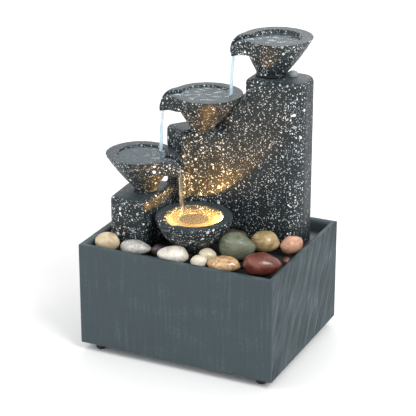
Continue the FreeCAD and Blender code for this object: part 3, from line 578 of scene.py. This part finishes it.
stones = {
    "pebble_beige": stone(
        (0.42, 0.3, 0.17), (0.62, 0.5, 0.33), (0.78, 0.68, 0.5),
        turn=0.3, stretch=1.0, wet=0.15, speckle=0.35, roughness=0.45, faceting=0.3),
    "pebble_grey_white": stone(
        (0.3, 0.29, 0.26), (0.5, 0.49, 0.45), (0.72, 0.71, 0.67),
        turn=0.5, stretch=2.5, wet=0.25, speckle=0.3, roughness=0.35, faceting=0.45,
        vein=(0.82, 0.81, 0.78)),
    "pebble_purple_small": stone(
        (0.03, 0.02, 0.024), (0.065, 0.045, 0.05), (0.11, 0.085, 0.09),
        turn=0.2, stretch=1.0, wet=0.35, speckle=0.2, roughness=0.35, faceting=0.3),
    "pebble_white": stone(
        (0.6, 0.53, 0.42), (0.8, 0.76, 0.67), (0.9, 0.88, 0.82),
        turn=0.7, stretch=0.8, wet=0.45, speckle=0.1, roughness=0.25, faceting=0.4),
    "pebble_cream_small": stone(
        (0.6, 0.49, 0.33), (0.76, 0.67, 0.51), (0.88, 0.82, 0.7),
        turn=0.1, stretch=1.0, wet=0.35, speckle=0.12, roughness=0.3, faceting=0.25),
    "pebble_cream": stone(
        (0.6, 0.5, 0.35), (0.8, 0.72, 0.58), (0.9, 0.85, 0.75),
        turn=0.6, stretch=1.0, wet=0.45, speckle=0.1, roughness=0.28, faceting=0.3),
    "pebble_orange": stone(
        (0.32, 0.15, 0.045), (0.58, 0.33, 0.13), (0.78, 0.58, 0.34),
        turn=0.4, stretch=0.7, wet=0.85, speckle=0.25, roughness=0.24, faceting=0.62,
        vein=(0.85, 0.72, 0.52)),
    "pebble_green_grey": stone(
        (0.105, 0.117, 0.075), (0.17, 0.187, 0.125), (0.27, 0.29, 0.21),
        turn=0.2, stretch=5.0, wet=0.3, speckle=0.3, roughness=0.36, faceting=0.55),
    "pebble_dark_flat": stone(
        (0.05, 0.036, 0.03), (0.1, 0.078, 0.066), (0.17, 0.14, 0.125),
        turn=0.3, stretch=3.0, wet=0.4, speckle=0.25, roughness=0.35, faceting=0.4),
    "pebble_yellow": stone(
        (0.27, 0.18, 0.075), (0.48, 0.35, 0.17), (0.66, 0.53, 0.31),
        turn=0.5, stretch=1.2, wet=0.45, speckle=0.35, roughness=0.32, faceting=0.45),
    "pebble_red_brown": stone(
        (0.08, 0.016, 0.01), (0.15, 0.036, 0.023), (0.24, 0.072, 0.048),
        turn=0.4, stretch=1.0, wet=0.45, speckle=0.3, roughness=0.3, faceting=0.5),
    "pebble_pink": stone(
        (0.42, 0.2, 0.12), (0.6, 0.33, 0.22), (0.74, 0.5, 0.37),
        turn=0.9, stretch=1.5, wet=0.3, speckle=0.25, roughness=0.35, faceting=0.3),
    "pebble_red_small": stone(
        (0.09, 0.022, 0.015), (0.17, 0.05, 0.035), (0.25, 0.09, 0.06),
        turn=0.1, stretch=1.0, wet=0.5, speckle=0.2, roughness=0.3, faceting=0.2),
}


def fill_box(mesh, low, high):
    """Scales a mesh along each axis so that it just fills the box from low to high."""
    for axis in range(3):
        values = [v.co[axis] for v in mesh.vertices]
        least, most = min(values), max(values)
        scale = (high[axis] - low[axis]) / (most - least)
        for vertex in mesh.vertices:
            vertex.co[axis] = low[axis] + (vertex.co[axis] - least) * scale
    mesh.update()


def worn(mesh, seed, faceting):
    """Gives a smooth egg the flats and hollows of a river pebble, always inward."""
    low = Vector((min(v.co.x for v in mesh.vertices), min(v.co.y for v in mesh.vertices),
                  min(v.co.z for v in mesh.vertices)))
    high = Vector((max(v.co.x for v in mesh.vertices), max(v.co.y for v in mesh.vertices),
                   max(v.co.z for v in mesh.vertices)))
    centre = (low + high) / 2
    half = (high - low) / 2
    planes = []
    for k in range(9):
        turn = 2.399963 * k + seed
        rise = -0.25 + 1.15 * ((k * 0.618 + 0.31 * seed) % 1.0)
        flat = math.sqrt(max(0.0, 1.0 - rise * rise)) if abs(rise) < 1 else 0.0
        planes.append((Vector((flat * math.cos(turn), flat * math.sin(turn), rise)).normalized(),
                       0.80 + 0.12 * ((k * 0.37 + 0.17 * seed) % 1.0)))
    for vertex in mesh.vertices:
        unit = Vector(((vertex.co.x - centre.x) / half.x, (vertex.co.y - centre.y) / half.y,
                       (vertex.co.z - centre.z) / half.z))
        for direction, limit in planes:
            over = unit.dot(direction) - limit
            if over > 0:
                unit -= direction * over * faceting
        dent = noise.fractal(unit * 1.3 + Vector((seed * 5.0, seed, 0)), 1.0, 2.0, 3)
        unit *= 1.0 - 0.045 * (0.5 + 0.5 * dent)
        vertex.co = centre + Vector((unit.x * half.x, unit.y * half.y, unit.z * half.z))
    fill_box(mesh, low, high)


def make_pebbles():
    for k, (node, look) in enumerate(stones.items()):
        low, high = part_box(node)
        mesh = recast((node,), (high - low).length / 55, 2)
        worn(mesh, 1.0 + 0.73 * k, look["faceting"])
        mesh.materials.append(pebble_material(node + "_stone", look))
        link("river_" + node, mesh, node, node.replace("pebble_", "stone_"), node)


# ---------------------------------------------------------------- castings


def make_castings(material):
    """Columns and bowls with softened edges and a slightly uneven skin."""
    castings = {
        "columns": (("tower_column", "middle_column", "left_column"), 1.0 * MM, 3),
        "top_bowl": (("top_bowl",), 0.7 * MM, 4),
        "middle_bowl": (("middle_bowl",), 0.7 * MM, 4),
        "left_bowl": (("left_bowl",), 0.7 * MM, 4),
        "light_bowl": (("light_bowl",), 0.7 * MM, 3),
    }
    for k, (name, (parts, voxel, passes)) in enumerate(castings.items()):
        mesh = recast(parts, voxel, passes)
        roughen(mesh, casting_relief, 0.006, 1.0 + k)
        mesh.materials.append(material)
        link("cast_" + name, mesh, "sculpture", "terrazzo", *parts)


# ---------------------------------------------------------------- water


def middle_of(box):
    return Vector([(a + b) / 2 for a, b in zip(*box)])


class Bowl:
    """Places of a pouring bowl that its water needs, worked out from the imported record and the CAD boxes."""

    def __init__(self, name, level):
        dish = middle_of(openings[name + "_dish"])
        channel = middle_of(openings[name.replace("_bowl", "") + "_spout_channel"])
        along = Vector((channel.x - dish.x, channel.y - dish.y, 0)).normalized()
        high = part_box(name)[1]
        self.name = name
        self.rim = high.z
        self.along = along
        self.across = Vector((-along.y, along.x, 0))
        self.centre = Vector((dish.x, dish.y, 0)) - along * dish_shift
        points = [v.co for v in nodes[name].data.vertices if v.co.z > self.rim - 0.2 * MM]
        self.radius = max(-(p - self.centre).dot(along) for p in points)
        self.level = self.rim - level

    def at(self, out, side, z):
        point = self.centre + self.along * out + self.across * side
        return Vector((point.x, point.y, z))


def ripple_height(x, y, drop, seed, size):
    """Height of the water surface: rings round the place where the stream lands, and a little chop."""
    away = math.hypot(x - drop[0], y - drop[1])
    rings = math.sin(away / (1.15 * MM)) * math.exp(-away / (7.0 * MM))
    chop = noise.noise(Vector((x / 0.0045, y / 0.0045, seed)))
    return size * (0.55 * rings + 0.45 * chop)


def pool(name, centre, ball_centre, ball_radius, level, drop, floor, material, ripple):
    """Body of water in a dish: a rippled top and an underside that follows the dish, closed at its edge."""
    reach = math.sqrt(ball_radius ** 2 - (ball_centre.z - level) ** 2) - 0.1 * MM
    rings, segments = 34, 96
    work = bmesh.new()
    top_rings, low_rings = [], []
    for i in range(1, rings + 1):
        rho = reach * i / rings
        top, under = [], []
        for j in range(segments):
            turn = 2 * math.pi * j / segments
            x = centre.x + rho * math.cos(turn)
            y = centre.y + rho * math.sin(turn)
            fade = min(1.0, (rings - i) / 3)
            z = level + fade * ripple_height(x, y, drop, 1.7, ripple)
            top.append(work.verts.new((x, y, z)))
            depth = ball_centre.z - math.sqrt(max(0.0, ball_radius ** 2 - rho ** 2)) + 0.12 * MM
            under.append(work.verts.new((x, y, min(level - 0.02 * MM, max(depth, floor)))))
        top_rings.append(top)
        low_rings.append(under)
    for group, flip in ((top_rings, False), (low_rings, True)):
        z = level + ripple_height(centre.x, centre.y, drop, 1.7, ripple) if not flip else max(
            ball_centre.z - ball_radius + 0.12 * MM, floor)
        hub = work.verts.new((centre.x, centre.y, z))
        for j in range(segments):
            k = (j + 1) % segments
            face = (hub, group[0][j], group[0][k])
            work.faces.new(tuple(reversed(face)) if flip else face)
            for inner, outer in zip(group, group[1:]):
                face = (inner[j], outer[j], outer[k], inner[k])
                work.faces.new(tuple(reversed(face)) if flip else face)
    for j in range(segments):
        k = (j + 1) % segments
        work.faces.new((top_rings[-1][k], top_rings[-1][j], low_rings[-1][j], low_rings[-1][k]))
    mesh = bpy.data.meshes.new(name)
    work.to_mesh(mesh)
    work.free()
    mesh.materials.append(material)
    piece = link(name, mesh, "sculpture", "clear")
    piece.visible_shadow = False
    return piece


def spill_path(bowl, landing_level):
    """Points (distance out, height, width, thickness) from the pool, over the lip, down to the next pool."""
    rim = bowl.rim
    reach = bowl.radius + spout_overhang - channel_depth
    bend = spout_bend - channel_depth / 2
    knee = reach - bend
    hub_z = rim - channel_depth - bend
    path = []
    start = bowl.radius - rim_width - 1.5 * MM
    for i in range(9):
        out = start + (knee - start) * i / 8
        height = rim - channel_depth + water_skin + 0.25 * MM * (1 - i / 8)
        path.append((out, height, 10.5 * MM - 2.6 * MM * i / 8, spill_thickness))
    for i in range(1, 12):
        turn = math.radians(72 * i / 11)
        radius = bend + water_skin
        path.append((knee + radius * math.sin(turn), hub_z + radius * math.cos(turn),
                     7.9 * MM - 3.2 * MM * i / 11, spill_thickness))
    out, z = path[-1][0], path[-1][1]
    fall = z - landing_level
    for i in range(1, fall_steps + 1):
        t = i / fall_steps
        drop = fall * t
        drift = 3.4 * MM * math.sqrt(t)
        narrow = 4.7 * MM - 1.1 * MM * min(1.0, 3 * t)
        path.append((out + drift, z - drop, narrow, 1.9 * MM + 0.9 * MM * min(1.0, 4 * t)))
    return path


def stream(name, bowl, landing_level, material, seed):
    """Falling water: an oval section swept from the pool's edge over the lip to the pool below."""
    path = spill_path(bowl, landing_level)
    count = stream_sides
    work = bmesh.new()
    rings = []
    for i, (out, z, width, thick) in enumerate(path):
        before = path[max(0, i - 1)]
        after = path[min(len(path) - 1, i + 1)]
        run, rise = after[0] - before[0], after[1] - before[1]
        length = math.hypot(run, rise)
        normal_out, normal_up = -rise / length, run / length
        fallen = max(0, i - spill_points) / fall_steps
        sway = 0.35 * MM * fallen * noise.noise(Vector((z / 0.012, seed, 0)))
        swell = 1.0 + 0.16 * fallen * noise.noise(Vector((z / 0.006, seed, 5)))
        ring = []
        for k in range(count):
            turn = 2 * math.pi * k / count
            crease = 1.0 + 0.10 * math.sin(3 * turn + z / 0.004) * fallen
            side = 0.5 * width * swell * crease * math.cos(turn) + sway
            lift = 0.5 * thick * swell * crease * math.sin(turn)
            ring.append(work.verts.new(bowl.at(out + normal_out * lift, side, z + normal_up * lift)))
        rings.append(ring)
    for first, second in zip(rings, rings[1:]):
        for k in range(count):
            m = (k + 1) % count
            work.faces.new((first[k], first[m], second[m], second[k]))
    work.faces.new(list(reversed(rings[0])))
    work.faces.new(rings[-1])
    bmesh.ops.recalc_face_normals(work, faces=work.faces)
    mesh = bpy.data.meshes.new(name)
    work.to_mesh(mesh)
    work.free()
    mesh.materials.append(material)
    piece = link(name, mesh, "sculpture", "clear")
    piece.visible_shadow = False
    last = path[-1]
    landing = bowl.at(last[0], 0, landing_level)
    return landing


def make_water():
    still = water("pool_water", (0.11, 0.155, 0.18), 0.45, 0.06, 0.00012)
    # painted glow on the falling water, so that the streams read bright
    falling = water("falling_water", (0.62, 0.76, 0.84), 0.55, 0.05, 0.0006, 420.0, painted_glow=0.12)
    thin = water("thin_water", (0.86, 0.92, 0.94), 0.96, 0.03, 0.0005, 420.0)
    # painted light: the water in the lamp's bowl is tinted warm gold to stand for the lamp's light; over the
    # lens it takes a greyer tint
    lit = water("lit_water", (0.96, 0.86, 0.62), 0.92, 0.10, 0.0005, 330.0)
    over_lens = water("water_over_lens", (0.34, 0.33, 0.27), 0.62, 0.05, 0.0009, 900.0)
    top = Bowl("top_bowl", top_pool_below_rim)
    middle = Bowl("middle_bowl", pool_below_rim)
    left = Bowl("left_bowl", pool_below_rim)
    light_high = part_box("light_bowl")[1]
    lit_level = light_high.z - lit_pool_below_rim
    landings = {"middle_bowl": stream("stream_top", top, middle.level - stream_dips_in, falling, 1.0),
                "left_bowl": stream("stream_middle", middle, left.level - stream_dips_in, falling, 2.0),
                "light_bowl": stream("stream_left", left, lit_level - stream_dips_in, thin, 3.0)}
    fitting_low, fitting_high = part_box("inlet_fitting")
    upwelling = ((fitting_low.x + fitting_high.x) / 2, (fitting_low.y + fitting_high.y) / 2)
    for bowl in (top, middle, left):
        dish = bowl.radius - rim_width
        ball = (dish ** 2 + dish_depth ** 2) / (2 * dish_depth)
        centre = bowl.centre + bowl.along * dish_shift
        ball_centre = Vector((centre.x, centre.y, bowl.rim + ball - dish_depth))
        landing = landings.get(bowl.name)
        drop = (landing.x, landing.y) if landing else upwelling
        pool(bowl.name.replace("bowl", "pool"), centre, ball_centre, ball, bowl.level, drop, 0.0, still,
             pool_ripple)
    dish = middle_of(openings["light_bowl_dish"])
    ball = (light_dish_radius ** 2 + light_dish_depth ** 2) / (2 * light_dish_depth)
    ball_centre = Vector((dish.x, dish.y, light_high.z + ball - light_dish_depth))
    landing = landings["light_bowl"]
    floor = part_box("lamp_lens")[1].z + 0.15 * MM
    middle_place = Vector((dish.x, dish.y, 0))
    piece = pool("lit_pool", middle_place, ball_centre, ball, lit_level, (landing.x, landing.y), floor, lit,
                 lit_pool_ripple)
    piece.data.materials.append(over_lens)
    lens_low, lens_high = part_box("lamp_lens")
    lens_radius = (lens_high.x - lens_low.x) / 2
    # faces over the lens take the greyer water; the rest keep the painted warm lamp tint
    for polygon in piece.data.polygons:
        away = math.hypot(polygon.center.x - dish.x, polygon.center.y - dish.y)
        polygon.material_index = 1 if away < lens_ring_share * lens_radius else 0


# ---------------------------------------------------------------- CAD nodes that stay


def dress_nodes(terrazzo_material):
    """Gives every CAD node that still shows its own procedural material, by the record's slots."""
    by_slot = {
        "black_rubber": moulded("rubber_black", (0.018, 0.018, 0.019), 0.62, 0.00008),
        "black_plastic": moulded("plastic_black", (0.022, 0.023, 0.025), 0.42),
        "grey_plastic": moulded("plastic_grey", (0.13, 0.14, 0.145), 0.42),
        "dial_plastic": moulded("plastic_dial", (0.015, 0.055, 0.22), 0.4),
        "clear_tube": clear_plastic("vinyl_tube", (0.78, 0.82, 0.82), 0.75, 0.18),
        "grey_rubber": moulded("rubber_grey", (0.27, 0.29, 0.295), 0.5, 0.00008),
        "foam": foam(),
        "steel": laminations(),
        "copper": winding(),
        "epoxy": moulded("cast_resin", (0.02, 0.02, 0.024), 0.3),
        "ceramic_shaft": moulded("shaft_ceramic", (0.76, 0.74, 0.68), 0.2),
        "ferrite": moulded("magnet_ferrite", (0.03, 0.03, 0.033), 0.5),
        "white_plastic": moulded("plastic_white", (0.66, 0.66, 0.63), 0.4),
        "board": moulded("lamp_board_white", (0.6, 0.62, 0.6), 0.3),
        "led": glowing("diode", (1.0, 0.80, 0.42), (1.0, 0.62, 0.22), 3.0),
        "clear": clear_plastic("lens_clear", (0.50, 0.52, 0.52), 0.55, 0.30),
        "terrazzo": terrazzo_material,
    }
    for row in record["subparts"]:
        slot = row.get("material_slot")
        if slot in by_slot:
            mesh = nodes[row["node"]].data
            mesh.materials.clear()
            mesh.materials.append(by_slot[slot])


# ---------------------------------------------------------------- lamp light, studio and camera


def lamp_light():
    """Warm light just over the lens; the bowl's rim cuts off where it can reach."""
    low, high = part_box("lamp_lens")
    centre = (low + high) / 2
    data = bpy.data.lights.new("lamp_glow", "POINT")
    data.energy = 0.24
    data.color = (1.0, 0.52, 0.15)
    data.shadow_soft_size = 0.0006
    lamp = bpy.data.objects.new("lamp_glow", data)
    bpy.context.scene.collection.objects.link(lamp)
    lamp.location = (centre.x + glow_offset[0], centre.y + glow_offset[1], high.z + glow_offset[2])
    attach(lamp, "sculpture")


def area_light(name, place, target, size, energy, colour=(1, 1, 1)):
    data = bpy.data.lights.new(name, "AREA")
    data.shape = "SQUARE"
    data.size = size
    data.energy = energy
    data.color = colour
    lamp = bpy.data.objects.new(name, data)
    bpy.context.scene.collection.objects.link(lamp)
    lamp.location = place
    lamp.rotation_euler = (Vector(target) - Vector(place)).to_track_quat("-Z", "Y").to_euler()


def studio():
    """Pale floor, white surroundings and large soft lights."""
    size = 6.0
    work = bmesh.new()
    bmesh.ops.create_grid(work, x_segments=8, y_segments=8, size=size)
    mesh = bpy.data.meshes.new("floor")
    work.to_mesh(mesh)
    work.free()
    floor = bpy.data.objects.new("floor", mesh)
    bpy.context.scene.collection.objects.link(floor)
    material, tree, shader = new_material("pale_floor")
    cloud = fractal(tree, stretched(tree), 3.0, 2.0)
    tree.links.new(ramp(tree, cloud, [(0.0, (0.90, 0.90, 0.90)), (1.0, (0.93, 0.93, 0.93))]),
                   shader.inputs["Base Color"])
    shader.inputs["Roughness"].default_value = 0.9
    mesh.materials.append(material)
    world = bpy.data.worlds.new("studio")
    bpy.context.scene.world = world
    world.use_nodes = True
    world.node_tree.nodes["Background"].inputs["Color"].default_value = (1.0, 1.0, 1.0, 1.0)
    world.node_tree.nodes["Background"].inputs["Strength"].default_value = 0.85
    area_light("key", (1.1, -0.55, 1.25), (0, 0, 0.12), 0.7, 16.0)
    area_light("fill", (-1.2, -1.0, 0.9), (0, 0, 0.12), 1.0, 5.0)
    area_light("back", (-0.3, 1.3, 1.2), (0, 0, 0.15), 0.9, 8.0)


def make_camera():
    data = bpy.data.cameras.new("camera")
    data.sensor_width = 36.0
    data.lens = 142.87
    data.clip_start = 0.05
    data.clip_end = 30.0
    camera = bpy.data.objects.new("camera", data)
    bpy.context.scene.collection.objects.link(camera)
    place = Vector((558.72, -1188.41, 649.92)) * MM
    target = Vector((-1.87, 0.0, 121.46)) * MM
    camera.location = place
    camera.rotation_euler = (target - place).to_track_quat("-Z", "Y").to_euler()
    bpy.context.scene.camera = camera
    bpy.context.scene.view_settings.view_transform = "Standard"


# ---------------------------------------------------------------- build

make_camera()
studio()
speckled = terrazzo()
dress_nodes(speckled)
slate_basin()
make_castings(speckled)
make_pebbles()
make_water()
lamp_light()
